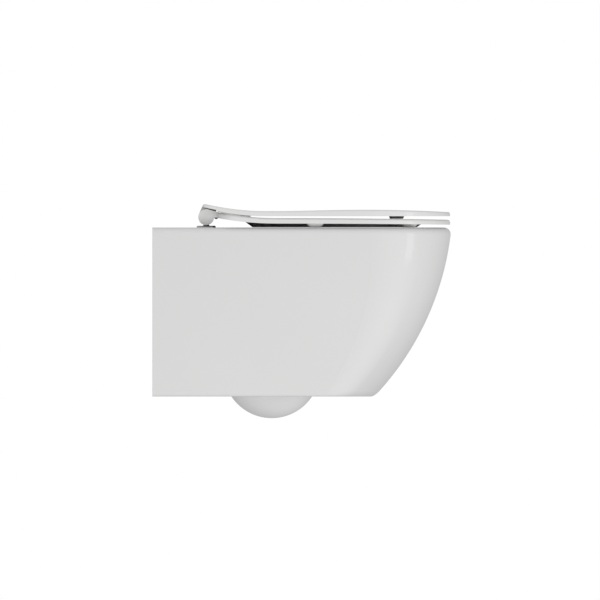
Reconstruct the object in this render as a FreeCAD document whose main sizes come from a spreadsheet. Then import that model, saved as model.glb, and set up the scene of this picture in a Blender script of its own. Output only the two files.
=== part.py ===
import FreeCAD, Part
import Sketcher
import math
import os
import re

# Wall hung toilet. Millimetres. The frame's origin lies on the wall, midway between the two
# fixing studs; +Z is up, the wall is the plane Y = 0 and the bowl reaches out towards -Y.
# "Reach" is a distance from the wall, "rise" a height above the flat rim and "drop" one below it.

SIZES = {
    # wall side
    "stud_spacing": 180,
    "stud_hole": 13,
    "rim_height": 79.1,  # flat rim above the studs
    "inlet_height": 35,  # inlet centre above the studs
    "inlet_bore": 55,
    "inlet_wall": 10,
    "outlet_drop": 100,  # waste spigot's centre below the studs
    "outlet_size": 102,
    "outlet_wall": 7,
    "outlet_length": 64,
    "spigot_setback": 6,
    # skirt of the bowl
    "bowl_width": 360,
    "bowl_reach": 535,
    "skirt_depth": 303.1,
    "bottom_taper": 16,  # how much narrower the skirt is at its lower edge
    "nose_ease": 25,  # how much flatter than a half circle the nose is
    "front_radius": 511,  # curve of the front, seen from the side
    "front_rise": 48.9,  # its centre above the rim
    "rim_round": 12,
    "front_round": 25,  # lower edge at the front
    "side_round": 4,  # lower edge along the sides
    "ceramic_wall": 12,
    "rim_wall": 16,
    # basin, from the opening in the rim down to the sump
    "rim_ledge": 43,
    "basin_narrowing": 24,  # of the rear radius against the front one
    "basin_setback": 15,
    "basin_wall": 10,
    "basin_round": 6,
    "sump_drop": 215.1,
    "sump_setback": 13,
    "sump_radius": 32,
    "sump_length": 8,
    "flush_width": 46,
    "flush_depth": 14,
    # trapway
    "trap_bore": 60,
    "trap_bore_width": 72,
    "trap_wall": 8.8,
    "trap_bend": 48,
    "trap_drop": 255.1,
    "rise_bend": 56,
    # wall brackets
    "bracket_width": 36,
    "bracket_plate": 6,
    "bracket_side": 10,
    "bracket_foot": 28,
    "arm_depth": 20,
    "arm_past_post": 14,
    "gusset_wall": 5,
    "gusset_reach": 52,
    "washer_size": 24,
    "washer_wall": 2.5,
    "nut_flats": 18,
    "nut_depth": 10.8,
    "nut_bore": 12.3,
    # hinge: place, post, rosette and housing
    "hinge_spacing": 155,
    "hinge_reach": 96.5,
    "axis_rise": 18.6,
    "hinge_hole": 15,
    "bush_flange": 26,
    "bush_flange_wall": 1.2,
    "post_thread": 8,
    "post_pillar": 9,
    "post_neck": 6.8,
    "post_rise": 22.9,
    "groove_rise": 13.3,
    "groove_depth": 2,
    "socket_flats": 4,
    "socket_depth": 6,
    "post_chamfer": 1,
    "rosette_size": 34.6,
    "rosette_rise": 3.2,
    "rosette_wall": 1.8,
    "rosette_rim": 3,
    "rosette_round": 1.6,
    "collar_size": 12.4,
    "collar_rise": 5.9,
    "housing_radius": 13.6,
    "housing_outer": 96.4,  # from the middle of the seat
    "housing_inner": 60,
    "clip_wire": 1.5,
    "clip_leg": 8.2,
    "button_size": 8.8,
    "button_nose": 5.2,
    "button_cone": 3.2,
    "button_back": 11.4,  # its end face, behind the post's centre
    "button_chamfer": 0.4,
    "button_travel": 2,
    # hinge pins, bushes and dampers
    "pin_size": 8,
    "pin_seat": 9,
    "ear_wall": 2.8,
    "ear_end": 3,
    "damper_wall": 2,
    "damper_end": 3,
    "vane_wall": 3,
    # seat ring
    "seat_gap": 1.2,  # between the edges of the bowl and of the seat
    "seat_overhang": 23,  # inwards from the basin's opening
    "seat_rear": 118,
    "seat_rear_corner": 30,
    "seat_heel_rise": 27.8,  # top and underside at the rear edge
    "seat_heel_under": 16.7,
    "seat_level_reach": 222,  # where the slope from the hinge ends
    "seat_top_rise": 16.7,
    "seat_top_fall": 3,
    "seat_under_rise": 7.1,
    "seat_under_fall": 2.2,
    "seat_lip": 21.5,
    "seat_lip_draft": 55,
    "seat_lip_gap": 0.5,  # between the lip under the seat and the rim
    "seat_edge_round": 4.4,
    "barrel_radius": 14.3,
    "barrel_inner": 98,
    "barrel_outer": 128,
    "barrel_under_rise": 17.9,
    # lid
    "lid_setback": 1.2,  # of its tip from the bowl's
    "lid_rear": 91.2,
    "lid_rear_corner": 14,
    "lid_heel_rise": 42.9,
    "lid_dip_reach": 204,
    "lid_dip_rise": 29.3,
    "lid_crest_reach": 382,
    "lid_crest_rise": 31.7,
    "lid_tip_rise": 27.3,
    "lid_plate": 6.3,
    "lid_lip_wall": 8,
    "lid_lip_reach": 116,
    "lid_lip_heel_rise": 29.4,
    "lid_lip_level_reach": 198,
    "lid_lip_rise": 20.3,
    "lid_edge_round": 3.5,
    "lid_ear_outer": 59.7,
    "lid_ear_inner": 30,
    "lid_curtain": 5,
    "lid_rib": 5,
    "lid_rib_end": 176,
    "lid_rib_gap": 0.5,  # above the seat's slope
    "lid_curtain_rise": 38.9,
    # buffers and pads
    "seat_buffer_length": 32,
    "seat_buffer_width": 15,
    "seat_buffer_foot": 21,
    "seat_buffer_middle": 292,
    "middle_buffer_inset": 29,
    "front_buffer_inset": 62,
    "front_buffer_setback": 74,
    "lid_buffer_setback": 96,
    "seat_buffer_foot_width": 10,
    "buffer_stem": 6,
    "buffer_stem_depth": 5,
    "lid_buffer_length": 30,
    "lid_buffer_width": 14,
    "lid_buffer_foot": 24,
    "lid_buffer_foot_width": 8,
    "heel_pad_length": 7,
    "heel_pad_depth": 3,
    "heel_pad_width": 20,
    "overlap": 8,  # how far one form runs into the next before they are joined
    # clearances
    "press_gap": 0.05,
    "running_gap": 0.06,
    "slide_gap": 0.1,
    "hinge_gap": 0.3,
    "landing_gap": 0.2,
}

# Sizes that follow from the ones above, so that the pieces keep together.
TIED = {
    "bottom_width": "bowl_width - bottom_taper",
    "nose_radius": "bowl_width / 2 + nose_ease",
    "corner_radius": "bowl_width / 3",
    "bottom_nose": "bowl_width * 3 / 4",
    "bottom_corner": "bowl_width / 6",
    "basin_front_radius": "bowl_width / 2 - rim_ledge",
    "basin_rear_radius": "basin_front_radius - basin_narrowing",
    "basin_front_centre": "bowl_reach - rim_ledge - basin_front_radius",
    "basin_rear_centre": "(bowl_reach + basin_setback) / 2",
    "sump_reach": "basin_rear_centre - sump_setback",
    "seat_width": "bowl_width - 2 * seat_gap",
    "seat_reach": "bowl_reach - seat_gap",
    "seat_front_radius": "basin_front_radius - seat_overhang",
    "seat_rear_radius": "basin_rear_radius - seat_overhang",
    "lid_width": "bowl_width - seat_gap",
    "lid_reach": "bowl_reach - lid_setback",
    "seat_buffer_middle_side": "seat_width / 2 - middle_buffer_inset",
    "seat_buffer_front_side": "seat_width / 2 - front_buffer_inset",
    "seat_buffer_front": "seat_reach - front_buffer_setback",
    "lid_buffer_side": "seat_buffer_front_side",
    "lid_buffer_reach": "lid_reach - lid_buffer_setback",
}

doc = FreeCAD.newDocument("WallHungToilet")
sheet = doc.addObject("Spreadsheet::Sheet", "Sizes")
cells = dict(SIZES) | {name: f"={formula}" for name, formula in TIED.items()}
for row, (name, size) in enumerate(cells.items(), start=1):
    sheet.set(f"A{row}", name)
    sheet.setAlias(f"B{row}", name)
    sheet.set(f"B{row}", str(size))
doc.recompute()

SIDES = {"left": -1, "right": 1}


# Formulas and sketches


def full(formula):
    """The formula with each size's name turned into its cell."""
    return re.sub(r"[a-z_]+", lambda word: f"Sizes.{word[0]}" if word[0] in cells else word[0], formula)


def value(formula):
    """What a formula comes to."""
    result = sheet.evalExpression(full(formula))
    return float(getattr(result, "Value", result))


def bind(thing, path, formula):
    thing.setExpression(path, full(formula))


def new_body(label):
    body = doc.addObject("PartDesign::Body", label)
    body.Label = label
    return body


def place(body, x="0", y="0", z="0"):
    """Moves a finished body to its seat."""
    for axis, formula in zip("xyz", (x, y, z)):
        bind(body, f"Placement.Base.{axis}", formula)


def sketch_on(body, plane, lift="0"):
    """A sketch on one of the body's own planes, lifted along its normal."""
    sketch = body.newObject("Sketcher::SketchObject", "Outline")
    support = next(item for item in body.Origin.OriginFeatures if item.Role == plane)
    sketch.AttachmentSupport = [(support, "")]
    sketch.MapMode = "FlatFace"
    bind(sketch, "AttachmentOffset.Base.z", lift)
    return sketch


def fix(sketch, kind, *where, formula):
    """A dimension of the sketch that follows a formula."""
    number = sketch.addConstraint(Sketcher.Constraint(kind, *where, value(formula)))
    bind(sketch, f"Constraints[{number}]", formula)


def draw(sketch, corners, closed=True):
    """Joins corners (x, y) by lines. A third value is the radius of an arc that leaves the corner
    and bends left; with a minus sign it bends right."""
    count = len(corners) if closed else len(corners) - 1
    first = sketch.GeometryCount
    points = [FreeCAD.Vector(value(corner[0]), value(corner[1]), 0) for corner in corners]
    ends = []
    for index in range(count):
        start = points[index]
        end = points[(index + 1) % len(points)]
        radius = corners[index][2] if len(corners[index]) > 2 else None
        if radius is None:
            geometry = sketch.addGeometry(Part.LineSegment(start, end))
            ends.append((geometry, 1, 2))
            continue
        bends_left = not radius.startswith("-")
        size = value(radius.lstrip("-"))
        chord = end - start
        left = FreeCAD.Vector(-chord.y, chord.x, 0).normalize()
        offset = math.sqrt(max(size**2 - (chord.Length / 2) ** 2, 0))
        centre = (start + end) * 0.5 + left * (offset if bends_left else -offset)
        low, high = (start, end) if bends_left else (end, start)
        angles = [math.atan2(point.y - centre.y, point.x - centre.x) for point in (low, high)]
        circle = Part.Circle(centre, FreeCAD.Vector(0, 0, 1), size)
        geometry = sketch.addGeometry(Part.ArcOfCircle(circle, *angles))
        ends.append((geometry, 1, 2) if bends_left else (geometry, 2, 1))
        fix(sketch, "Radius", geometry, formula=radius.lstrip("-"))
    for index, (geometry, start_end, far_end) in enumerate(ends):
        fix(sketch, "DistanceX", -1, 1, geometry, start_end, formula=corners[index][0])
        fix(sketch, "DistanceY", -1, 1, geometry, start_end, formula=corners[index][1])
        if index + 1 < len(ends) or closed:
            follower = ends[(index + 1) % len(ends)]
            sketch.addConstraint(Sketcher.Constraint("Coincident", geometry, far_end, *follower[:2]))
    if not closed:
        geometry, _, far_end = ends[-1]
        fix(sketch, "DistanceX", -1, 1, geometry, far_end, formula=corners[-1][0])
        fix(sketch, "DistanceY", -1, 1, geometry, far_end, formula=corners[-1][1])
    return [f"Edge{number + 1}" for number in range(first, sketch.GeometryCount)]


def draw_circle(sketch, x, y, radius):
    centre = FreeCAD.Vector(value(x), value(y), 0)
    circle = Part.Circle(centre, FreeCAD.Vector(0, 0, 1), value(radius))
    geometry = sketch.addGeometry(circle)
    fix(sketch, "Radius", geometry, formula=radius)
    fix(sketch, "DistanceX", -1, 1, geometry, 3, formula=x)
    fix(sketch, "DistanceY", -1, 1, geometry, 3, formula=y)


def draw_ellipse(sketch, x, y, half_width, half_depth):
    """An ellipse that is wider than it is deep."""
    centre = FreeCAD.Vector(value(x), value(y), 0)
    wide = FreeCAD.Vector(value(half_width), 0, 0)
    deep = FreeCAD.Vector(0, value(half_depth), 0)
    ellipse = sketch.addGeometry(Part.Ellipse(centre + wide, centre + deep, centre))
    sketch.exposeInternalGeometry(ellipse)
    fix(sketch, "DistanceX", -1, 1, ellipse, 3, formula=x)
    fix(sketch, "DistanceY", -1, 1, ellipse, 3, formula=y)
    major, minor = ellipse + 1, ellipse + 2
    right = 1 if sketch.getPoint(major, 1).x > centre.x else 2
    upper = 1 if sketch.getPoint(minor, 1).y > centre.y else 2
    fix(sketch, "DistanceX", -1, 1, major, right, formula=f"{x} + {half_width}")
    fix(sketch, "DistanceY", -1, 1, major, right, formula=y)
    fix(sketch, "DistanceY", -1, 1, minor, upper, formula=f"{y} + {half_depth}")


def box_outline(x0, x1, y0, y1):
    return [(x0, y0), (x1, y0), (x1, y1), (x0, y1)]


def hexagon(flats):
    """Corners of a hexagon round the sketch's origin, from its width across flats."""
    half = f"({flats}) / 2"
    side = f"({flats}) / sqrt(12)"
    corners = [(f"-{side}", f"-{half}"), (side, f"-{half}"), (f"2 * {side}", "0")]
    return corners + [(side, half), (f"-{side}", half), (f"-2 * {side}", "0")]


# Features


def volume(body):
    doc.recompute()
    return body.Shape.Volume


def finish(body, feature, before):
    """Checks that a feature has changed the body the way its kind says."""
    after = volume(body)
    cuts = any(word in feature.TypeId for word in ("Pocket", "Groove", "Subtractive"))
    if (after >= before) if cuts else (after <= before):
        raise RuntimeError(f"{body.Label}: {feature.Name} changes nothing ({before:.1f}, {after:.1f})")
    return feature


def extrude(body, kind, sketch, length, both_ways=False, reverse=False, draft=None):
    """A Pad along the sketch's normal or a Pocket against it."""
    before = volume(body) if body.Tip else 0
    feature = body.newObject(f"PartDesign::{kind}", kind)
    feature.Profile = sketch
    bind(feature, "Length", length)
    feature.SideType = "Symmetric" if both_ways else "One side"
    feature.Reversed = reverse
    if draft:
        bind(feature, "TaperAngle", draft)
    return finish(body, feature, before)


def turn(body, kind, sketch, axis):
    """A full Revolution or Groove of a sketch about its V_Axis or H_Axis."""
    before = volume(body) if body.Tip else 0
    feature = body.newObject(f"PartDesign::{kind}", kind)
    feature.Profile = sketch
    feature.ReferenceAxis = (sketch, [axis])
    feature.Angle = 360
    return finish(body, feature, before)


def loft(body, kind, sketches):
    before = volume(body) if body.Tip else 0
    feature = body.newObject(f"PartDesign::{kind}Loft", "Loft")
    feature.Profile = sketches[0]
    feature.Sections = sketches[1:]
    return finish(body, feature, before)


def pipe(body, kind, profile, spine, edges):
    before = volume(body) if body.Tip else 0
    feature = body.newObject(f"PartDesign::{kind}Pipe", "Pipe")
    feature.Profile = profile
    feature.Spine = (spine, edges)
    return finish(body, feature, before)


def round_edges(body, radius, chosen):
    """A fillet on the tip's edges for which chosen(edge) is true."""
    doc.recompute()
    base = body.Tip
    names = [f"Edge{number}" for number, edge in enumerate(base.Shape.Edges, 1) if chosen(edge)]
    feature = body.newObject("PartDesign::Fillet", "Fillet")
    feature.Base = (base, names)
    bind(feature, "Radius", radius)
    doc.recompute()
    if "Invalid" in feature.State:
        raise RuntimeError(f"{body.Label}: the fillet of {radius} failed")
    return feature


def level_arc(run, rise):
    """Radius of an arc that ends level, after a run and a rise or fall."""
    return f"((({run}) ^ 2 + ({rise}) ^ 2) / (2 * ({rise})))"


def d_outline(half_width, front, corner, nose, rear, rear_corner=None):
    """A D in plan: straight sides, two corner arcs and a nose arc that meet without a kink."""
    across = f"(({half_width}) - ({corner}))"
    reach = f"(({nose}) - ({corner}))"
    along = f"sqrt({reach} ^ 2 - {across} ^ 2)"
    corner_y = f"-(({front}) - ({nose}) + {along})"
    join_x = f"({across} * ({nose}) / {reach})"
    join_y = f"-(({front}) - ({nose}) + {along} * ({nose}) / {reach})"
    side = f"({half_width})"
    front_part = [
        (f"-{side}", corner_y, corner),
        (f"-{join_x}", join_y, nose),
        (join_x, join_y, corner),
        (side, corner_y),
    ]
    if rear_corner is None:
        return [(f"-{side}", f"-({rear})")] + front_part + [(side, f"-({rear})")]
    turn_y = f"-({rear} + {rear_corner})"
    inner = f"({side} - {rear_corner})"
    rear_part = [(side, turn_y, rear_corner), (inner, f"-{rear}"), (f"-{inner}", f"-{rear}", rear_corner)]
    return [(f"-{side}", turn_y)] + front_part + rear_part


def egg_outline(rear_centre, rear_radius, front_centre, front_radius):
    """Two round ends of unlike radius, joined by the straight lines that touch both."""
    lean = f"((({front_radius}) - ({rear_radius})) / (({front_centre}) - ({rear_centre})))"
    out = f"sqrt(1 - {lean} ^ 2)"
    front_x = f"(({front_radius}) * {out})"
    front_y = f"-(({front_centre}) - ({front_radius}) * {lean})"
    rear_x = f"(({rear_radius}) * {out})"
    rear_y = f"-(({rear_centre}) - ({rear_radius}) * {lean})"
    return [
        (f"-{front_x}", front_y, front_radius),
        ("0", f"-(({front_centre}) + ({front_radius}))", front_radius),
        (front_x, front_y),
        (rear_x, rear_y, rear_radius),
        ("0", f"-(({rear_centre}) - ({rear_radius}))", rear_radius),
        (f"-{rear_x}", rear_y),
    ]


# The ceramic bowl

FRONT_SETBACK = "(bowl_reach - sqrt(front_radius ^ 2 - (front_rise + rim_round) ^ 2))"
ROUND_DROP = "(front_rise + skirt_depth - front_round)"  # the lower edge's centre below the front's
ROUND_REACH = f"({FRONT_SETBACK} + sqrt((front_radius - front_round) ^ 2 - {ROUND_DROP} ^ 2))"
ROUND_START = f"({ROUND_DROP} * front_radius / (front_radius - front_round) - front_rise)"


def skirt_front(drop, inset="0"):
    """Reach of the front's curve at a drop below the rim."""
    return f"({FRONT_SETBACK} + sqrt((front_radius - {inset}) ^ 2 - (front_rise + {drop}) ^ 2))"


def skirt_section(body, drop, front, inset="0", rear="0"):
    """The skirt's plan at one level: it narrows and its corners tighten on the way down."""
    share = f"(({drop}) / skirt_depth)"
    half_width = f"((bowl_width + (bottom_width - bowl_width) * {share}) / 2 - {inset})"
    corner = f"(corner_radius + (bottom_corner - corner_radius) * {share} - {inset})"
    nose = f"(nose_radius + (bottom_nose - nose_radius) * {share} - {inset})"
    sketch = sketch_on(body, "XY_Plane", f"rim_height - ({drop})")
    draw(sketch, d_outline(half_width, front, corner, nose, rear))
    return sketch


def skirt(body):
    """The outer form: the curved front down to the lower edge, then the edge's round."""
    drops = [f"{ROUND_START} * {step} / 5" for step in range(6)]
    upper = [skirt_section(body, drop, skirt_front(drop), rear="-overlap") for drop in drops]
    loft(body, "Additive", upper)
    sections = []
    for step in (3, 2, 1, 0):
        lift = f"((skirt_depth - {ROUND_START}) * ({step} / 3) ^ 2)"
        front = f"({ROUND_REACH} + sqrt(2 * front_round * {lift} - {lift} ^ 2))"
        side_lift = f"min({lift}; side_round)"
        inset = f"(side_round - sqrt(side_round ^ 2 - (side_round - {side_lift}) ^ 2))"
        drop = f"(skirt_depth - {lift})"
        sections.append(skirt_section(body, drop, f"({front} + {inset})", inset, rear="-overlap"))
    loft(body, "Additive", sections)
    wall = sketch_on(body, "XZ_Plane")
    draw(wall, box_outline("-bowl_width", "bowl_width", "-skirt_depth", "2 * rim_height"))
    extrude(body, "Pocket", wall, "2 * overlap")


def cavity(body):
    """The hollow behind the basin, open towards the wall."""
    last = "(skirt_depth - ceramic_wall)"
    drops = [f"(rim_wall + ({last} - rim_wall) * {step} / 4)" for step in range(5)]
    sections = []
    for drop in drops:
        front = skirt_front(drop, "ceramic_wall")
        sections.append(skirt_section(body, drop, front, "ceramic_wall", rear="-overlap"))
    loft(body, "Subtractive", sections)


def basin_section(body, share, wall="0"):
    """The basin's plan at a share of its depth, on a quarter ellipse from opening to sump."""
    blend = f"sqrt(1 - {share} ^ 2)"
    sizes = []
    for end, sign in (("rear", "-"), ("front", "+")):
        centre = f"(sump_reach {sign} sump_length / 2)"
        sizes.append(f"({centre} + (basin_{end}_centre - {centre}) * {blend})")
        sizes.append(f"(sump_radius + (basin_{end}_radius - sump_radius) * {blend} + {wall})")
    sketch = sketch_on(body, "XY_Plane", f"rim_height - sump_drop * {share}")
    draw(sketch, egg_outline(*sizes))
    return sketch


BASIN_SHARES = (0, 0.3, 0.6, 0.85, 1)
OUTER_SHARES = (0.05, 0.3, 0.6, 0.85, 1)


def trap_path(body):
    """Down from the sump, round under the dip, up again and back to the waste spigot."""
    down = "-sump_reach"
    middle = "-(sump_reach - trap_bend)"
    up = "-(sump_reach - 2 * trap_bend)"
    level = "(rim_height - trap_drop)"
    sketch = sketch_on(body, "YZ_Plane")
    corners = [
        (down, "rim_height - sump_drop"),
        (down, level, "trap_bend"),
        (middle, f"{level} - trap_bend", "trap_bend"),
        (up, level),
        (up, "-outlet_drop - rise_bend", "-rise_bend"),
        (f"{up} + rise_bend", "-outlet_drop"),
        ("-(outlet_length - outlet_wall)", "-outlet_drop"),
    ]
    return sketch, draw(sketch, corners, closed=False)


def trapway(body, kind, wall="0"):
    path, edges = trap_path(body)
    profile = sketch_on(body, "XY_Plane", "rim_height - sump_drop")
    halves = [f"({bore} / 2 + {wall})" for bore in ("trap_bore_width", "trap_bore")]
    draw_ellipse(profile, "0", "-sump_reach", *halves)
    pipe(body, kind, profile, path, edges)


def rear_tube(body, kind, rise, radius, start, end):
    """A tube or bore square to the wall, between two reaches."""
    sketch = sketch_on(body, "XZ_Plane", start)
    draw_circle(sketch, "0", rise, radius)
    extrude(body, kind, sketch, f"({end}) - ({start})", reverse=kind == "Pocket")


def ceramic_skirt():
    """The outer shell with the flat rim. Like the basin and the trapway it is cast on its own and
    stuck to them before firing."""
    body = new_body("ceramic_skirt")
    skirt(body)
    top = value("rim_height")

    def on_rim(edge):
        box = edge.BoundBox
        return box.ZMin > top - 0.01 and box.YMin < -1

    round_edges(body, "rim_round", on_rim)
    cavity(body)
    loft(body, "Subtractive", [basin_section(body, share) for share in BASIN_SHARES])
    trapway(body, "Subtractive", "(trap_wall + landing_gap)")
    holes = sketch_on(body, "XY_Plane", "rim_height")
    for side in SIDES.values():
        draw_circle(holes, f"{side} * hinge_spacing / 2", "-hinge_reach", "hinge_hole / 2")
    extrude(body, "Pocket", holes, "2 * rim_wall")

    def on_opening(edge):
        box = edge.BoundBox
        inside = box.YMin > -value("basin_front_centre + basin_front_radius + 1")
        return box.ZMin > top - 0.01 and inside and box.YMax < -value("hinge_reach + hinge_hole")

    round_edges(body, "basin_round", on_opening)


def under_deck(body):
    """Cuts a body off at the underside of the rim's deck."""
    above = sketch_on(body, "XY_Plane", "rim_height - rim_wall")
    draw(above, box_outline("-bowl_width", "bowl_width", "-2 * bowl_reach", "0"))
    extrude(body, "Pocket", above, "rim_wall", reverse=True)


BASIN_REAR = "(basin_rear_centre - basin_rear_radius)"
CHAMBER_END = f"({BASIN_REAR} - basin_wall - inlet_wall)"


def flush_slot(body):
    slot = sketch_on(body, "XZ_Plane", f"{CHAMBER_END} - 1")
    half = "flush_width / 2"
    draw(slot, box_outline(f"-{half}", half, "inlet_height - flush_depth", "inlet_height"))
    extrude(body, "Pocket", slot, "inlet_wall + 4 * basin_wall", reverse=True)


def ceramic_basin():
    """The basin under the rim."""
    body = new_body("ceramic_basin")
    loft(body, "Additive", [basin_section(body, share, "basin_wall") for share in OUTER_SHARES])
    under_deck(body)
    loft(body, "Subtractive", [basin_section(body, share) for share in BASIN_SHARES])
    flush_slot(body)


def ceramic_inlet():
    """The flush inlet's tube, stuck to the back of the basin."""
    body = new_body("ceramic_inlet")
    rear_tube(body, "Pad", "inlet_height", "(inlet_bore / 2 + inlet_wall)", "spigot_setback", BASIN_REAR)
    under_deck(body)
    room = "(basin_wall + landing_gap)"
    loft(body, "Subtractive", [basin_section(body, share, room) for share in OUTER_SHARES])
    rear_tube(body, "Pocket", "inlet_height", "inlet_bore / 2", "0", CHAMBER_END)
    flush_slot(body)


def ceramic_trapway():
    """The trap from the sump's foot to the waste spigot. Its dip hangs below the skirt."""
    body = new_body("ceramic_trapway")
    trapway(body, "Additive", "trap_wall")
    rear_tube(body, "Pad", "-outlet_drop", "outlet_size / 2", "spigot_setback", "outlet_length")
    room = "(basin_wall + landing_gap)"
    loft(body, "Subtractive", [basin_section(body, share, room) for share in OUTER_SHARES])
    trapway(body, "Subtractive")
    outlet_bore = "(outlet_size / 2 - outlet_wall)"
    rear_tube(body, "Pocket", "-outlet_drop", outlet_bore, "0", "outlet_length - outlet_wall")


# Wall fixing

POST_X = "hinge_spacing / 2"
ARM_TOP = "(rim_height - rim_wall)"


def wall_bracket(name, side):
    """A plate on the stud, and an arm under the rim that the hinge post screws into."""
    body = new_body(f"wall_bracket_{name}")
    inner = f"{side} * ({POST_X} - bracket_side)"
    outer = f"{side} * (stud_spacing + bracket_width) / 2"
    plate = sketch_on(body, "XZ_Plane")
    draw(plate, box_outline(inner, outer, "-bracket_foot", ARM_TOP))
    extrude(body, "Pad", plate, "bracket_plate")
    arm = sketch_on(body, "XZ_Plane")
    draw(arm, box_outline(inner, outer, f"{ARM_TOP} - arm_depth", ARM_TOP))
    extrude(body, "Pad", arm, "hinge_reach + arm_past_post")
    gusset = sketch_on(body, "YZ_Plane", f"{side} * ({POST_X} - bracket_side + gusset_wall / 2)")
    corner = ("0", f"{ARM_TOP} - arm_depth / 2")
    draw(gusset, [corner, ("-gusset_reach", f"{ARM_TOP} - arm_depth"), ("-bracket_plate", "-bracket_foot"), ("0", "-bracket_foot")])
    extrude(body, "Pad", gusset, "gusset_wall", both_ways=True)
    hole = sketch_on(body, "XZ_Plane")
    draw_circle(hole, f"{side} * stud_spacing / 2", "0", "stud_hole / 2")
    extrude(body, "Pocket", hole, "bracket_plate", reverse=True)
    thread = sketch_on(body, "XY_Plane", ARM_TOP)
    draw_circle(thread, f"{side} * {POST_X}", "-hinge_reach", "post_thread / 2 + press_gap")
    extrude(body, "Pocket", thread, "arm_depth")


def stud_washer(name, side):
    body = new_body(f"stud_washer_{name}")
    ring = sketch_on(body, "XZ_Plane")
    draw_circle(ring, "0", "0", "washer_size / 2")
    draw_circle(ring, "0", "0", "stud_hole / 2")
    extrude(body, "Pad", ring, "washer_wall")
    place(body, f"{side} * stud_spacing / 2", "-bracket_plate")


def stud_nut(name, side):
    body = new_body(f"stud_nut_{name}")
    ring = sketch_on(body, "XZ_Plane")
    draw(ring, hexagon("nut_flats"))
    draw_circle(ring, "0", "0", "nut_bore / 2")
    extrude(body, "Pad", ring, "nut_depth")
    place(body, f"{side} * stud_spacing / 2", "-(bracket_plate + washer_wall)")


# Hinge: what stands on the rim


def over_post(body, side, rise="0"):
    place(body, f"{side} * {POST_X}", "-hinge_reach", f"rim_height + {rise}")


def hinge_bush(name, side):
    """Keeps the post's thread off the ceramic."""
    body = new_body(f"hinge_bush_{name}")
    sketch = sketch_on(body, "XZ_Plane")
    bore = "post_thread / 2 + hinge_gap"
    tube = "hinge_hole / 2 - landing_gap"
    flange = "bush_flange / 2"
    corners = [(bore, "-rim_wall"), (tube, "-rim_wall"), (tube, "0"), (flange, "0")]
    draw(sketch, corners + [(flange, "bush_flange_wall"), (bore, "bush_flange_wall")])
    turn(body, "Revolution", sketch, "V_Axis")
    over_post(body, side)


def rosette(name, side):
    """The chrome base disc: a shallow cup over the bush's flange."""
    body = new_body(f"rosette_{name}")
    sketch = sketch_on(body, "XZ_Plane")
    bore = "post_thread / 2 + hinge_gap"
    rim = "rosette_size / 2"
    under = "rosette_rise - rosette_wall"
    corners = [
        (bore, under),
        (f"{rim} - rosette_rim", under),
        (f"{rim} - rosette_rim", "0"),
        (rim, "0"),
        (rim, "rosette_rise - rosette_round"),
        (f"{rim} - rosette_round", "rosette_rise"),
        (bore, "rosette_rise"),
    ]
    draw(sketch, corners)
    turn(body, "Revolution", sketch, "V_Axis")
    over_post(body, side)


def hinge_post(name, side):
    """Screw and pillar in one: thread into the bracket's arm, collar on the rosette, groove for
    the clip and a hexagon socket in its top."""
    body = new_body(f"hinge_post_{name}")
    sketch = sketch_on(body, "XZ_Plane")
    thread = "post_thread / 2"
    pillar = "post_pillar / 2"
    neck = "post_neck / 2"
    foot = "-(rim_wall + arm_depth)"
    low = "groove_rise - groove_depth / 2"
    high = "groove_rise + groove_depth / 2"
    corners = [
        ("0", foot),
        (f"{thread} - post_chamfer", foot),
        (thread, f"{foot} + post_chamfer"),
        (thread, "rosette_rise"),
        ("collar_size / 2", "rosette_rise"),
        (pillar, "collar_rise"),
        (pillar, low),
        (neck, low),
        (neck, high),
        (pillar, high),
        (pillar, "post_rise - post_chamfer"),
        (f"{pillar} - post_chamfer", "post_rise"),
        ("0", "post_rise"),
    ]
    draw(sketch, corners)
    turn(body, "Revolution", sketch, "V_Axis")
    socket = sketch_on(body, "XY_Plane", "post_rise")
    draw(socket, hexagon("socket_flats"))
    extrude(body, "Pocket", socket, "socket_depth")
    over_post(body, side)


# Hinge: what lifts off with the seat

AXIS_Z = "(rim_height + axis_rise)"


def across(body, outline, inner, outer, side):
    """Pads an outline in the plane of the wall's normal between two distances from the middle."""
    sketch = sketch_on(body, "YZ_Plane", f"{side} * ({inner} + {outer}) / 2")
    draw(sketch, outline)
    extrude(body, "Pad", sketch, f"{outer} - {inner}", both_ways=True)


def ear_bore(body, side, mouth, depth, radius, inwards):
    """A blind bore on the hinge axis, from its mouth towards or away from the middle."""
    sketch = sketch_on(body, "YZ_Plane", f"{side} * {mouth}")
    draw_circle(sketch, "-hinge_reach", AXIS_Z, radius)
    extrude(body, "Pocket", sketch, depth, reverse=(side > 0) != inwards)


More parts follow.
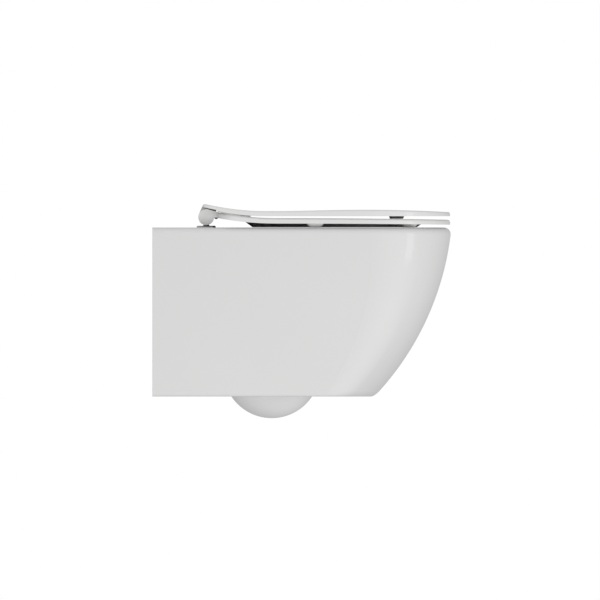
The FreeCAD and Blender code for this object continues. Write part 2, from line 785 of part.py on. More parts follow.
def hinge_housing(name, side):
    """Drops over the post. It carries the clip, the release button and the two pins."""
    body = new_body(f"hinge_housing_{name}")
    flat_z = "rim_height + collar_rise"
    flat_half = "sqrt(housing_radius ^ 2 - (axis_rise - collar_rise) ^ 2)"
    outline = [
        (f"{flat_half} - hinge_reach", flat_z, "housing_radius"),
        ("-hinge_reach", f"{AXIS_Z} + housing_radius", "housing_radius"),
        (f"-{flat_half} - hinge_reach", flat_z),
    ]
    across(body, outline, "housing_inner", "housing_outer", side)
    post = sketch_on(body, "XY_Plane", flat_z)
    draw_circle(post, f"{side} * {POST_X}", "-hinge_reach", "post_pillar / 2 + running_gap")
    extrude(body, "Pocket", post, "post_rise - collar_rise + hinge_gap", reverse=True)
    ear_bore(body, side, "housing_outer", "pin_seat", "pin_size / 2 + press_gap", inwards=True)
    ear_bore(body, side, "housing_inner", "pin_seat", "pin_size / 2 + press_gap", inwards=False)
    button = sketch_on(body, "XZ_Plane", "hinge_reach - housing_radius")
    draw_circle(button, f"{side} * {POST_X}", "rim_height + groove_rise", "button_size / 2 + slide_gap")
    extrude(body, "Pocket", button, "housing_radius - post_pillar / 2 - running_gap", reverse=True)
    slot = sketch_on(body, "XY_Plane", "rim_height + groove_rise + groove_depth / 2")
    half = "(post_neck / 2 + clip_wire + 2 * slide_gap)"
    middle = f"{side} * {POST_X}"
    back = "clip_leg + slide_gap - hinge_reach"
    draw(slot, box_outline(f"{middle} - {half}", f"{middle} + {half}", f"-{half} - hinge_reach", back))
    extrude(body, "Pocket", slot, "groove_depth")


def latch_clip(name, side):
    """A bent wire whose legs lie in the post's groove."""
    body = new_body(f"latch_clip_{name}")
    leg = "(post_neck / 2 + clip_wire / 2 + slide_gap)"
    spine = sketch_on(body, "XY_Plane")
    corners = [(f"-{leg}", "clip_leg"), (f"-{leg}", "0", leg), ("0", f"-{leg}", leg), (leg, "0"), (leg, "clip_leg")]
    edges = draw(spine, corners, closed=False)
    wire = sketch_on(body, "XZ_Plane", "-clip_leg")
    draw_circle(wire, f"-{leg}", "0", "clip_wire / 2")
    pipe(body, "Additive", wire, spine, edges)
    over_post(body, side, "groove_rise")


def release_button(name, side):
    """Its cone spreads the clip's legs when it is pressed."""
    body = new_body(f"release_button_{name}")
    sketch = sketch_on(body, "XY_Plane")
    nose = "post_pillar / 2 + button_travel + hinge_gap"
    head = "button_size / 2"
    corners = [
        ("0", nose),
        ("button_nose / 2", nose),
        (head, f"{nose} + button_cone"),
        (head, "button_back - button_chamfer"),
        (f"{head} - button_chamfer", "button_back"),
        ("0", "button_back"),
    ]
    draw(sketch, corners)
    turn(body, "Revolution", sketch, "V_Axis")
    over_post(body, side, "groove_rise")


# Hinge pins, bushes and dampers: on the seat's side they lie outside the housing, on the lid's
# side between the housing and the middle. "Start" is where the pin enters its housing bore, "mouth"
# the open end of the ear's bore and "floor" its blind end.

PLACES = {
    "seat": ("(housing_outer - pin_seat)", "barrel_inner", "(barrel_outer - ear_end)", "+"),
    "lid": ("(housing_inner + pin_seat)", "lid_ear_outer", "(lid_ear_inner + ear_end)", "-"),
}
EAR_BORE = "(barrel_radius - ear_wall)"


def on_axis(label, side, corners):
    """A piece turned about the hinge axis, from corners (distance from the middle, radius)."""
    body = new_body(label)
    sketch = sketch_on(body, "XY_Plane")
    draw(sketch, [(f"{side} * {x}", radius) for x, radius in corners])
    turn(body, "Revolution", sketch, "H_Axis")
    place(body, "0", "-hinge_reach", AXIS_Z)
    return body


def plain_pin(part, side):
    start, mouth, floor, out = PLACES[part]
    end = f"({floor} {'-' if out == '+' else '+'} 2 * hinge_gap)"
    radius = "pin_size / 2"
    on_axis(f"{part}_pin", side, [(start, "0"), (end, "0"), (end, radius), (start, radius)])


def plain_bush(part, side):
    start, mouth, floor, out = PLACES[part]
    bore = "pin_size / 2 + running_gap"
    outer = f"{EAR_BORE} - press_gap"
    near = f"({mouth} {out} press_gap)"
    on_axis(f"{part}_bush", side, [(near, bore), (floor, bore), (floor, outer), (near, outer)])


def damper_body(part, side):
    """The damper's closed can, turned with its ear."""
    start, mouth, floor, out = PLACES[part]
    bore = "pin_size / 2 + running_gap"
    outer = f"{EAR_BORE} - press_gap"
    chamber = f"{outer} - damper_wall"
    near = f"({mouth} {out} press_gap)"
    front = f"({near} {out} damper_end)"
    back = f"({floor} {'-' if out == '+' else '+'} damper_end)"
    corners = [(near, bore), (front, bore), (front, chamber), (back, chamber), (back, "0")]
    on_axis(f"{part}_damper_body", side, corners + [(floor, "0"), (floor, outer), (near, outer)])


def damper_rotor(part, side):
    """The damper's shaft with its two vanes, held still by the housing."""
    start, mouth, floor, out = PLACES[part]
    back_sign = "-" if out == "+" else "+"
    end = f"({floor} {back_sign} (damper_end + hinge_gap))"
    front = f"({mouth} {out} (press_gap + damper_end + hinge_gap))"
    radius = "pin_size / 2"
    body = on_axis(f"{part}_damper_rotor", side, [(start, "0"), (end, "0"), (end, radius), (start, radius)])
    vanes = sketch_on(body, "XZ_Plane")
    tip = f"({EAR_BORE} - press_gap - damper_wall - hinge_gap)"
    draw(vanes, box_outline(f"{side} * {front}", f"{side} * {end}", f"-{tip}", tip))
    extrude(body, "Pad", vanes, "vane_wall", both_ways=True)


# Seat

SEAT_END = "(seat_reach + 2)"


def seat_profile():
    """The ring seen from the side: it slopes down from the hinge, runs level and droops."""
    heel = "(seat_level_reach - seat_rear)"
    run = f"({SEAT_END} - seat_level_reach)"
    under = "rim_height + seat_under_rise"
    top = "rim_height + seat_top_rise"
    return [
        (f"-{SEAT_END}", f"{under} - seat_under_fall", "-" + level_arc(run, "seat_under_fall")),
        ("-seat_level_reach", under, level_arc(heel, "seat_heel_under - seat_under_rise")),
        ("-seat_rear", "rim_height + seat_heel_under"),
        ("-seat_rear", "rim_height + seat_heel_rise", "-" + level_arc(heel, "seat_heel_rise - seat_top_rise")),
        ("-seat_level_reach", top, level_arc(run, "seat_top_fall")),
        (f"-{SEAT_END}", f"{top} - seat_top_fall"),
    ]


def seat_under(reach):
    """Height of the ring's underside at a reach ahead of the slope."""
    share = f"((({reach}) - seat_level_reach) / ({SEAT_END} - seat_level_reach))"
    return f"(rim_height + seat_under_rise - seat_under_fall * {share} ^ 2)"


def seat_top(reach):
    """Height of the ring's top at a reach ahead of the slope."""
    share = f"((({reach}) - seat_level_reach) / ({SEAT_END} - seat_level_reach))"
    return f"(rim_height + seat_top_rise - seat_top_fall * {share} ^ 2)"


def barrel_profile():
    """An ear of the seat: the barrel round the axis and the neck to the ring."""
    run = "(seat_rear - hinge_reach)"
    rise = "(seat_heel_rise - axis_rise)"
    far = f"({run} ^ 2 + {rise} ^ 2)"
    leg = f"sqrt({far} - barrel_radius ^ 2)"
    touch_y = f"-(hinge_reach + (barrel_radius ^ 2 * {run} - barrel_radius * {leg} * {rise}) / {far})"
    touch_z = f"({AXIS_Z} + (barrel_radius ^ 2 * {rise} + barrel_radius * {leg} * {run}) / {far})"
    under = "rim_height + barrel_under_rise"
    under_y = "-(hinge_reach + sqrt(barrel_radius ^ 2 - (axis_rise - barrel_under_rise) ^ 2))"
    inside = "-(seat_rear + overlap)"
    return [
        (inside, under),
        (under_y, under, "barrel_radius"),
        ("-hinge_reach", f"{AXIS_Z} - barrel_radius", "barrel_radius"),
        ("barrel_radius - hinge_reach", AXIS_Z, "barrel_radius"),
        (touch_y, touch_z),
        ("-seat_rear", "rim_height + seat_heel_rise"),
        (inside, "rim_height + seat_heel_rise - overlap / 2"),
    ]


def trim(body, outline):
    """Cuts away all that lies outside an outline in plan."""
    sketch = sketch_on(body, "XY_Plane", "rim_height")
    far = "(bowl_reach + bowl_width)"
    draw(sketch, box_outline(f"-{far}", far, f"-{far}", far))
    draw(sketch, outline)
    extrude(body, "Pocket", sketch, "2 * rim_height", both_ways=True)


def along_outline(edge, rear):
    """True unless the edge is a straight seam across the width ahead of the rear edge."""
    first, last = edge.Vertexes[0].Point, edge.Vertexes[-1].Point
    straight = isinstance(edge.Curve, Part.Line) and abs(first.y - last.y) < 0.01
    return not straight or first.y > -value(rear) - 1


def middle(edge):
    return edge.valueAt((edge.FirstParameter + edge.LastParameter) / 2)


def curve_height(profile, first, last):
    """A function that gives a drawn profile's height at a reach, from its arcs first to last."""
    corners = [tuple(value(entry) for entry in corner[:2]) for corner in profile]
    arcs = []
    for index in range(first, last):
        (y0, z0), (y1, z1) = corners[index], corners[index + 1]
        radius = profile[index][2]
        size = value(radius.lstrip("-"))
        turn_left = -1 if radius.startswith("-") else 1
        length = math.hypot(y1 - y0, z1 - z0)
        offset = turn_left * math.sqrt(size**2 - length**2 / 4)
        centre_y = (y0 + y1) / 2 - (z1 - z0) / length * offset
        centre_z = (z0 + z1) / 2 + (y1 - y0) / length * offset
        above = 1 if z0 > centre_z else -1
        arcs.append((min(y0, y1), max(y0, y1), centre_y, centre_z, size * above))

    def height(y):
        for low, high, centre_y, centre_z, size in arcs:
            if low - 0.01 <= y <= high + 0.01:
                return centre_z + math.copysign(math.sqrt(size**2 - (y - centre_y) ** 2), size)
        return math.inf

    return height


def on_curve(height, rear):
    """Picks the edges that lie on a curved top or underside and follow the outline."""

    def chosen(edge):
        point = middle(edge)
        return abs(point.z - height(point.y)) < 0.05 and along_outline(edge, rear)

    return chosen


def stem_hole(body, x, y, start, depth, upwards=True):
    sketch = sketch_on(body, "XY_Plane", start)
    draw_circle(sketch, x, y, "buffer_stem / 2 + press_gap")
    extrude(body, "Pocket", sketch, depth, reverse=upwards)


def seat_ring():
    body = new_body("seat_ring")
    profile = sketch_on(body, "YZ_Plane")
    draw(profile, seat_profile())
    extrude(body, "Pad", profile, "bowl_width", both_ways=True)
    trim(body, d_outline("seat_width / 2", "seat_reach", "corner_radius", "nose_radius", "seat_rear", "seat_rear_corner"))
    lip = sketch_on(body, "XY_Plane", "rim_height + (seat_under_rise + seat_top_rise) / 2")
    radii = ["(seat_rear_radius + seat_lip)", "(seat_front_radius + seat_lip)"]
    draw(lip, egg_outline("basin_rear_centre", radii[0], "basin_front_centre", radii[1]))
    depth = "(seat_under_rise + seat_top_rise) / 2 - seat_lip_gap"
    extrude(body, "Pad", lip, depth, reverse=True, draft="-seat_lip_draft")
    opening = sketch_on(body, "XY_Plane", "rim_height")
    draw(opening, egg_outline("basin_rear_centre", "seat_rear_radius", "basin_front_centre", "seat_front_radius"))
    extrude(body, "Pocket", opening, "rim_height", both_ways=True)
    round_edges(body, "seat_edge_round", on_curve(curve_height(seat_profile(), 3, 5), "seat_rear"))
    for side in SIDES.values():
        across(body, barrel_profile(), "barrel_inner", "barrel_outer", side)
        ear_bore(body, side, "barrel_inner", "barrel_outer - barrel_inner - ear_end", EAR_BORE, inwards=False)
        for place_name in ("middle", "front"):
            x = f"{side} * seat_buffer_{place_name}_side"
            stem_hole(body, x, f"-seat_buffer_{place_name}", "rim_height", "seat_under_rise + buffer_stem_depth")


# Lid

LID_END = "(lid_reach + 2)"
HEEL_ARC = level_arc("lid_dip_reach - lid_rear", "lid_heel_rise - lid_dip_rise")
WAVE_ARC = level_arc("(lid_crest_reach - lid_dip_reach) / 2", "(lid_crest_rise - lid_dip_rise) / 2")
TIP_ARC = level_arc(f"{LID_END} - lid_crest_reach", "lid_crest_rise - lid_tip_rise")


def lid_top(below="0", start="lid_rear", start_rise="lid_heel_rise"):
    """The lid's top from the heel down to the dip, up to the crest and down to the tip."""
    base = f"rim_height - {below}"
    wave = ("-(lid_dip_reach + lid_crest_reach) / 2", f"{base} + (lid_dip_rise + lid_crest_rise) / 2", WAVE_ARC)
    return [
        (f"-{start}", f"{base} + {start_rise}", "-" + HEEL_ARC),
        ("-lid_dip_reach", f"{base} + lid_dip_rise", "-" + WAVE_ARC),
        wave,
        ("-lid_crest_reach", f"{base} + lid_crest_rise", TIP_ARC),
        (f"-{LID_END}", f"{base} + lid_tip_rise"),
    ]


def backwards(corners):
    """The same open run of lines and arcs, drawn from its other end."""
    points = [corner[:2] for corner in corners]
    bends = [corner[2] if len(corner) > 2 else None for corner in corners[:-1]]
    turned = [bend.lstrip("-") if bend.startswith("-") else "-" + bend for bend in bends]
    return [point + (bend,) for point, bend in zip(reversed(points[1:]), reversed(turned))] + [points[0]]


def lid_lip_profile():
    """The turned-down edge seen from the side, up into the middle of the plate."""
    slope = "(lid_lip_level_reach - lid_lip_reach)"
    run = "(lid_dip_reach - lid_lip_reach)"
    rise = f"(lid_dip_rise + {HEEL_ARC} - sqrt({HEEL_ARC} ^ 2 - {run} ^ 2))"
    low = "rim_height + lid_lip_rise"
    bottom = [
        (f"-{LID_END}", low),
        ("-lid_lip_level_reach", low, level_arc(slope, "lid_lip_heel_rise - lid_lip_rise")),
        ("-lid_lip_reach", "rim_height + lid_lip_heel_rise"),
    ]
    return bottom + lid_top("lid_plate / 2", "lid_lip_reach", rise)


BACK_RUN = "(hinge_reach - lid_rear)"
BACK_RISE = "(lid_heel_rise - lid_plate / 4 - axis_rise)"
BACK_FAR = f"({BACK_RUN} ^ 2 + {BACK_RISE} ^ 2)"
BACK_LEG = f"sqrt({BACK_FAR} - barrel_radius ^ 2)"
BACK_FOOT = "barrel_radius - hinge_reach"
BACK_TOUCH = (
    f"(barrel_radius ^ 2 * {BACK_RUN} + barrel_radius * {BACK_LEG} * {BACK_RISE}) / {BACK_FAR} - hinge_reach",
    f"{AXIS_Z} + (barrel_radius ^ 2 * {BACK_RISE} - barrel_radius * {BACK_LEG} * {BACK_RUN}) / {BACK_FAR}",
)
BACK_HEEL = ("-lid_rear", f"{AXIS_Z} + {BACK_RISE}")


def lid_ear_profile():
    """An ear of the lid: round about the axis, its back leaning up to the lid's heel."""
    return [
        ("-hinge_reach - barrel_radius", AXIS_Z, "barrel_radius"),
        ("-hinge_reach", f"{AXIS_Z} - barrel_radius", "barrel_radius"),
        (*BACK_TOUCH,),
        BACK_HEEL,
        ("-lid_lip_reach", "rim_height + lid_lip_heel_rise + lid_plate"),
    ]


def lid_curtain_profile():
    """The thin wall that closes the back between the ears."""
    return [
        (f"{BACK_FOOT} - lid_curtain", AXIS_Z),
        (BACK_FOOT, AXIS_Z, "barrel_radius"),
        BACK_TOUCH,
        BACK_HEEL,
        ("-lid_rear - lid_curtain", "rim_height + lid_curtain_rise"),
    ]


def lid_rib_profile():
    """A rib that runs forward from an ear, close above the seat's slope."""
    heel = "(seat_level_reach - seat_rear)"
    bend = level_arc(heel, "seat_heel_rise - seat_top_rise")
    run = "(seat_level_reach - lid_rib_end)"
    base = "rim_height + lid_rib_gap"
    end_rise = f"(seat_top_rise + {bend} - sqrt({bend} ^ 2 - {run} ^ 2))"
    arc = level_arc("lid_dip_reach - lid_rear", "lid_heel_rise - lid_dip_rise")
    far = "(lid_dip_reach - lid_rib_end)"
    top_rise = f"(lid_dip_rise + {arc} - sqrt({arc} ^ 2 - {far} ^ 2) - lid_plate / 2)"
    return [
        ("-lid_rib_end", f"{base} + {end_rise}", bend),
        ("-seat_rear", f"{base} + seat_heel_rise"),
        ("-lid_lip_reach + lid_plate", "rim_height + lid_lip_heel_rise + lid_plate"),
        ("-lid_rib_end", f"rim_height + {top_rise}"),
    ]


def lid():
    body = new_body("lid")
    lip = sketch_on(body, "YZ_Plane")
    draw(lip, lid_lip_profile())
    extrude(body, "Pad", lip, "bowl_width", both_ways=True)
    recess = sketch_on(body, "XY_Plane", "rim_height")
    inside = ["lid_width / 2", "lid_reach", "corner_radius", "nose_radius"]
    draw(recess, d_outline(*[f"({size} - lid_lip_wall)" for size in inside], "(lid_rear - overlap)"))
    extrude(body, "Pocket", recess, "rim_height", both_ways=True)
    plate = sketch_on(body, "YZ_Plane")
    draw(plate, backwards(lid_top("lid_plate")) + lid_top())
    extrude(body, "Pad", plate, "bowl_width", both_ways=True)
    trim(body, d_outline(*inside, "lid_rear", "lid_rear_corner"))
    round_edges(body, "lid_edge_round", on_curve(curve_height(lid_top(), 0, 4), "lid_rear"))
    across(body, lid_curtain_profile(), "(-lid_ear_inner - overlap / 4)", "(lid_ear_inner + overlap / 4)", 1)
    for side in SIDES.values():
        across(body, lid_rib_profile(), "(lid_ear_outer - lid_rib)", "lid_ear_outer", side)
        across(body, lid_ear_profile(), "lid_ear_inner", "lid_ear_outer", side)
        ear_bore(body, side, "lid_ear_outer", "lid_ear_outer - lid_ear_inner - ear_end", EAR_BORE, inwards=True)


# Buffers and pads


def slot_outline(x, y, length, width):
    """A bar with round ends, long from front to back."""
    half = f"({width}) / 2"
    straight = f"({length} - {width}) / 2"
    return [
        (f"{x} - {half}", f"{y} - {straight}", half),
        (x, f"{y} - {straight} - {half}", half),
        (f"{x} + {half}", f"{y} - {straight}"),
        (f"{x} + {half}", f"{y} + {straight}", half),
        (x, f"{y} + {straight} + {half}", half),
        (f"{x} - {half}", f"{y} + {straight}"),
    ]


def stem(body, x, y, start):
    sketch = sketch_on(body, "XY_Plane", start)
    draw_circle(sketch, x, y, "buffer_stem / 2")
    extrude(body, "Pad", sketch, "buffer_stem_depth")


def seat_buffer(name, side, where):
    body = new_body(f"seat_buffer_{where}_{name}")
    x = f"{side} * seat_buffer_{where}_side"
    y = f"-seat_buffer_{where}"
    top = f"({seat_under(f'seat_buffer_{where} + seat_buffer_length / 2')} - press_gap)"
    foot = sketch_on(body, "XY_Plane", "rim_height + landing_gap")
    draw(foot, slot_outline(x, y, "seat_buffer_foot", "seat_buffer_foot_width"))
    head = sketch_on(body, "XY_Plane", top)
    draw(head, slot_outline(x, y, "seat_buffer_length", "seat_buffer_width"))
    loft(body, "Additive", [foot, head])
    stem(body, x, y, top)


def lid_buffer(name, side):
    body = new_body(f"lid_buffer_{name}")
    x = f"{side} * lid_buffer_side"
    y = "-lid_buffer_reach"
    base = f"({seat_top('lid_buffer_reach - lid_buffer_length / 2')} + landing_gap)"
    end = "(lid_buffer_reach + lid_buffer_length / 2 - lid_crest_reach)"
    fall = f"({TIP_ARC} - sqrt({TIP_ARC} ^ 2 - {end} ^ 2))"
    foot = sketch_on(body, "XY_Plane", base)
    draw(foot, slot_outline(x, y, "lid_buffer_foot", "lid_buffer_foot_width"))
    top = f"(rim_height + lid_crest_rise - {fall} - lid_plate - press_gap)"
    head = sketch_on(body, "XY_Plane", top)
    draw(head, slot_outline(x, y, "lid_buffer_length", "lid_buffer_width"))
    loft(body, "Additive", [foot, head])


def heel_pad(name, side):
    """A lens-shaped stop under the neck of the seat's ear."""
    body = new_body(f"heel_pad_{name}")
    top = "rim_height + barrel_under_rise"
    front = "-(seat_rear - press_gap)"
    rear = "-(seat_rear - heel_pad_length - press_gap)"
    bend = "((heel_pad_length / 2) ^ 2 + heel_pad_depth ^ 2) / (2 * heel_pad_depth)"
    middle_x = "(barrel_inner + barrel_outer) / 2"
    edges = [f"({middle_x} {sign} heel_pad_width / 2)" for sign in "-+"]
    across(body, [(front, top, bend), (rear, top)], *edges, side)


def build():
    ceramic_skirt()
    ceramic_basin()
    ceramic_inlet()
    ceramic_trapway()
    seat_ring()
    lid()
    for name, side in SIDES.items():
        for piece in (wall_bracket, stud_washer, stud_nut, hinge_bush, rosette, hinge_post, hinge_housing):
            piece(name, side)
        for piece in (latch_clip, release_button, lid_buffer, heel_pad):
            piece(name, side)
        seat_buffer(name, side, "middle")
        seat_buffer(name, side, "front")
    for maker in (damper_body, damper_rotor):
        maker("seat", SIDES["left"])
        maker("lid", SIDES["right"])
    for maker in (plain_bush, plain_pin):
        maker("seat", SIDES["right"])
        maker("lid", SIDES["left"])


def write_parts():
    doc.recompute()
    for item in doc.Objects:
        if "Invalid" in item.State or "Error" in item.State:
            raise RuntimeError(f"{item.Label} failed: {item.State}")
    bodies = [item for item in doc.Objects if item.TypeId == "PartDesign::Body"]
    for body in bodies:
        if body.Shape.isNull() or not body.Shape.isValid() or len(body.Shape.Solids) != 1:
            raise RuntimeError(f"{body.Label} is not one sound solid")
    os.makedirs("parts", exist_ok=True)
    for body in bodies:
        body.Shape.exportStep(f"parts/{body.Label}.step")
        print(f"{body.Label}: {body.Shape.Volume / 1000:.2f} cm3")


build()
write_parts()
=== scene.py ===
import math

import bpy
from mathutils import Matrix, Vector

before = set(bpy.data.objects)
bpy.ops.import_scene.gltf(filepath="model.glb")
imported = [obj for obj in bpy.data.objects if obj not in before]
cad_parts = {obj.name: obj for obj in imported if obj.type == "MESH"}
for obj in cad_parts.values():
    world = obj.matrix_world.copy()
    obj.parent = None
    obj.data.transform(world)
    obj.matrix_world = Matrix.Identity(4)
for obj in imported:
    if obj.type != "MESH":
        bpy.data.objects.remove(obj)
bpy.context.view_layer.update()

MM = 0.001

# How the photograph sees the bowl: straight from the side, the wall to the left.
PICTURE = 600  # dots across and down
SCALE = 1.793 * MM  # metres to a dot
WALL_DOT = 152.36  # column of the wall
LEVEL_DOT = 227.0  # row of a level just above the rim
LEVEL = 80 * MM  # that level above the studs
SIGHT = 3  # metres from the camera to the middle of the bowl

MIDDLE = (0, -0.26, 0)  # of the bowl, where the lamps aim
SURROUNDINGS = 0.52  # strength of the light from all round

# The glaze stops this far in front of the wall, at the rear edge of the skirt.
BARE_EDGE = 0.6 * MM


# Camera


def side_camera():
    camera = bpy.data.cameras.new("side_camera")
    camera.type = "ORTHO"
    camera.ortho_scale = PICTURE * SCALE
    camera.clip_end = 6 * SIGHT
    holder = bpy.data.objects.new("side_camera", camera)
    bpy.context.scene.collection.objects.link(holder)
    reach = (PICTURE / 2 - WALL_DOT) * SCALE
    height = LEVEL - (PICTURE / 2 - LEVEL_DOT) * SCALE
    holder.location = (-SIGHT, -reach, height)
    holder.rotation_euler = (math.radians(90), 0, math.radians(-90))
    bpy.context.scene.camera = holder


# Light


def soft_lamp(name, place, width, height, power, mirrored=False):
    """A lamp aimed at the middle of the bowl, its size in metres and its power in watts."""
    lamp = bpy.data.lights.new(name, "AREA")
    lamp.shape = "RECTANGLE"
    lamp.size = width
    lamp.size_y = height
    lamp.energy = power
    holder = bpy.data.objects.new(name, lamp)
    bpy.context.scene.collection.objects.link(holder)
    holder.location = place
    holder.visible_camera = False
    holder.visible_glossy = mirrored
    aim = Vector(MIDDLE) - Vector(place)
    holder.rotation_euler = aim.to_track_quat("-Z", "Y").to_euler()


def studio():
    """Even light from all round, lamps, and a white background that only the camera sees."""
    bpy.context.scene.view_settings.view_transform = "Standard"
    world = bpy.data.worlds.new("studio")
    bpy.context.scene.world = world
    world.use_nodes = True
    tree = world.node_tree
    lit = tree.nodes["Background"]
    lit.inputs["Color"].default_value = (1, 1, 1, 1)
    lit.inputs["Strength"].default_value = SURROUNDINGS
    seen = tree.nodes.new("ShaderNodeBackground")
    seen.inputs["Color"].default_value = (1, 1, 1, 1)
    path = tree.nodes.new("ShaderNodeLightPath")
    mix = tree.nodes.new("ShaderNodeMixShader")
    tree.links.new(path.outputs["Is Camera Ray"], mix.inputs[0])
    tree.links.new(lit.outputs[0], mix.inputs[1])
    tree.links.new(seen.outputs[0], mix.inputs[2])
    tree.links.new(mix.outputs[0], tree.nodes["World Output"].inputs["Surface"])
    soft_lamp("side_light", (-3.1, -0.3, -0.8), 2.4, 1.0, 37)
    soft_lamp("rear_light", (-0.3, 1.6, 1.9), 1.2, 1.0, 15)
    soft_lamp("front_light", (-1.4, -3.2, -0.3), 1.6, 1.6, 23.5)
    soft_lamp("strip_light", (-0.97, -3.36, 0.3), 0.8, 1.4, 3.8, mirrored=True)


# Materials


class Wire:
    """A shader output that takes part in arithmetic."""

    def __init__(self, finish, socket):
        self.finish = finish
        self.socket = socket

    def maths(self, operation, first, second):
        return self.finish.node("ShaderNodeMath", {"operation": operation}, {0: first, 1: second})

    def __add__(self, other):
        return self.maths("ADD", self, other)

    __radd__ = __add__

    def __sub__(self, other):
        return self.maths("SUBTRACT", self, other)

    def __mul__(self, other):
        return self.maths("MULTIPLY", self, other)

    def __gt__(self, other):
        return self.maths("GREATER_THAN", self, other)

    def __lt__(self, other):
        return self.maths("LESS_THAN", self, other)


class Finish:
    """A procedural material in the part's own coordinates."""

    def __init__(self, name, color, roughness, **plain):
        self.material = bpy.data.materials.new(name)
        self.material.use_nodes = True
        self.tree = self.material.node_tree
        self.shader = self.tree.nodes["Principled BSDF"]
        self.color = color
        self.shader.inputs["Base Color"].default_value = (*color, 1)
        self.shader.inputs["Roughness"].default_value = roughness
        for socket, value in plain.items():
            self.shader.inputs[socket.replace("_", " ")].default_value = value
        self.place = self.node("ShaderNodeTexCoord", output="Object")
        self.y = self.node("ShaderNodeSeparateXYZ", None, {0: self.place}, output=1)

    def node(self, kind, settings=None, sockets=None, output=0):
        node = self.tree.nodes.new(kind)
        for name, value in (settings or {}).items():
            setattr(node, name, value)
        for name, value in (sockets or {}).items():
            if isinstance(value, Wire):
                self.tree.links.new(value.socket, node.inputs[name])
            else:
                node.inputs[name].default_value = value
        return Wire(self, node.outputs[output])

    def noise(self, scale, detail=2.0, rough=0.5):
        sockets = {"Vector": self.place, "Scale": scale, "Detail": detail, "Roughness": rough}
        return self.node("ShaderNodeTexNoise", None, sockets)

    def stretched(self, x, y, z, scale):
        """Noise that is finer by x, y and z along those axes."""
        place = self.node("ShaderNodeMapping", None, {"Vector": self.place, "Scale": (x, y, z)})
        return self.node("ShaderNodeTexNoise", None, {"Vector": place, "Scale": scale, "Detail": 2.0})

    def cells(self, scale):
        return self.node("ShaderNodeTexVoronoi", None, {"Vector": self.place, "Scale": scale})

    def blend(self, mask, first, second):
        """The first colour where the mask is 0, the second where it is 1."""
        settings = {"data_type": "RGBA"}
        sockets = {0: mask, 6: (*first, 1) if isinstance(first, tuple) else first}
        sockets[7] = (*second, 1) if isinstance(second, tuple) else second
        return self.node("ShaderNodeMix", settings, sockets, output=2)

    def feed(self, socket, wire):
        self.tree.links.new(wire.socket, self.shader.inputs[socket])

    def bump(self, height, depth):
        """Relief as deep as depth, in metres."""
        wire = self.node("ShaderNodeBump", None, {"Strength": 1.0, "Distance": depth, "Height": height})
        self.feed("Normal", wire)


def shade(color, share):
    return tuple(part * share for part in color)


def glaze():
    """White glaze with a few dark specks, and bare biscuit on the edge at the wall."""
    finish = Finish("glaze", (0.715, 0.715, 0.712), 0.08)
    cloud = finish.noise(scale=7.0, detail=3.0)
    glazed = finish.blend(cloud, shade(finish.color, 0.985), shade(finish.color, 1.01))
    speck = finish.cells(scale=260.0) < 0.035
    glazed = finish.blend(speck * 0.22, glazed, (0.45, 0.44, 0.42))
    bare = finish.y > -BARE_EDGE
    grain = finish.noise(scale=420.0, detail=4.0, rough=0.7)
    biscuit = finish.blend(grain, (0.60, 0.575, 0.53), (0.70, 0.68, 0.64))
    finish.feed("Base Color", finish.blend(bare, glazed, biscuit))
    finish.feed("Roughness", 0.06 + cloud * 0.05 + bare * 0.6)
    wave = finish.noise(scale=22.0)
    finish.bump(wave + bare * grain * 0.6, depth=0.6 * MM)
    return finish.material


def moulded(name, color, roughness=0.14):
    """Glossy moulded plastic with a faint orange peel."""
    finish = Finish(name, color, roughness)
    cloud = finish.noise(scale=9.0)
    finish.feed("Base Color", finish.blend(cloud, shade(color, 0.985), shade(color, 1.012)))
    fine = finish.noise(scale=600.0)
    finish.feed("Roughness", roughness + (fine - 0.5) * 0.06)
    finish.bump(finish.noise(scale=30.0) + fine * 0.02, depth=0.2 * MM)
    return finish.material


def matte(name, color, roughness):
    """Rubber and unpolished plastic: clouded, with fine pores."""
    finish = Finish(name, color, roughness)
    cloud = finish.noise(scale=60.0, detail=3.0)
    finish.feed("Base Color", finish.blend(cloud, shade(color, 0.92), shade(color, 1.05)))
    pores = finish.noise(scale=900.0, detail=3.0)
    finish.feed("Roughness", roughness + (pores - 0.5) * 0.2)
    finish.bump(pores, depth=0.1 * MM)
    return finish.material


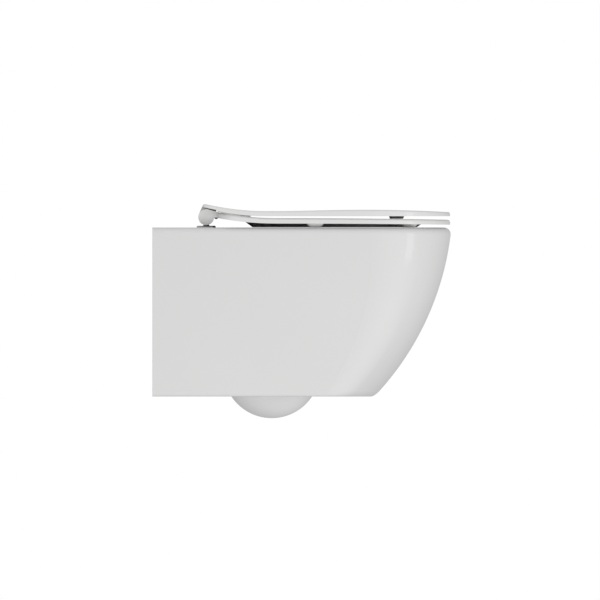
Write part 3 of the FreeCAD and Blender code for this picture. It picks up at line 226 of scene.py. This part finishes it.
def plated(name, color, roughness, brush):
    """Zinc-plated steel: mottled crystals over faint rolling lines, brush deep."""
    finish = Finish(name, color, roughness, Metallic=1.0)
    crystals = finish.cells(scale=140.0)
    lines = finish.stretched(1.0, 14.0, 14.0, scale=60.0)
    finish.feed("Base Color", finish.blend(crystals, shade(color, 0.8), shade(color, 1.1)))
    finish.feed("Roughness", roughness + lines * 0.15)
    finish.bump(lines, brush)
    return finish.material


def chrome():
    finish = Finish("chrome", (0.5, 0.51, 0.52), 0.07, Metallic=1.0)
    haze = finish.noise(scale=90.0, detail=3.0)
    finish.feed("Base Color", finish.blend(haze, (0.48, 0.49, 0.5), (0.53, 0.54, 0.55)))
    finish.feed("Roughness", 0.05 + haze * 0.06)
    finish.bump(finish.noise(scale=160.0), depth=0.03 * MM)
    return finish.material


def dress(material, *names):
    for name in names:
        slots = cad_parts[name].data.materials
        if not slots:
            slots.append(material)
        for index in range(len(slots)):
            slots[index] = material


def dress_all():
    sides = ("left", "right")

    def both(name):
        return [f"{name}_{side}" for side in sides]

    dress(glaze(), *(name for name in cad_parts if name.startswith("ceramic_")))
    dress(moulded("seat_plastic", (0.74, 0.74, 0.735)), "seat_ring", "lid")
    dress(moulded("housing_plastic", (0.66, 0.66, 0.655)), *both("hinge_housing"))
    dress(chrome(), *both("rosette"), *both("hinge_post"))
    dress(plated("bracket_zinc", (0.5, 0.5, 0.52), 0.32, 0.04 * MM), *both("wall_bracket"))
    fixings = both("stud_washer") + both("stud_nut") + ["seat_pin", "lid_pin"]
    dress(plated("fixing_zinc", (0.6, 0.6, 0.62), 0.24, 0.02 * MM), *fixings)
    dress(plated("spring_wire", (0.42, 0.42, 0.44), 0.2, 0.01 * MM), *both("latch_clip"))
    dampers = [f"{part}_damper_{half}" for part in ("seat", "lid") for half in ("body", "rotor")]
    nylon = both("hinge_bush") + ["seat_bush", "lid_bush"] + dampers
    dress(matte("nylon", (0.7, 0.69, 0.66), 0.45), *nylon)
    dress(matte("button_plastic", (0.3, 0.31, 0.32), 0.4), *both("release_button"))
    buffers = both("seat_buffer_middle") + both("seat_buffer_front")
    dress(matte("seat_rubber", (0.82, 0.82, 0.81), 0.5), *buffers)
    dress(matte("lid_rubber", (0.36, 0.36, 0.36), 0.6), *both("lid_buffer"))
    dress(matte("dark_rubber", (0.11, 0.11, 0.112), 0.6), *both("heel_pad"))


side_camera()
studio()
dress_all()
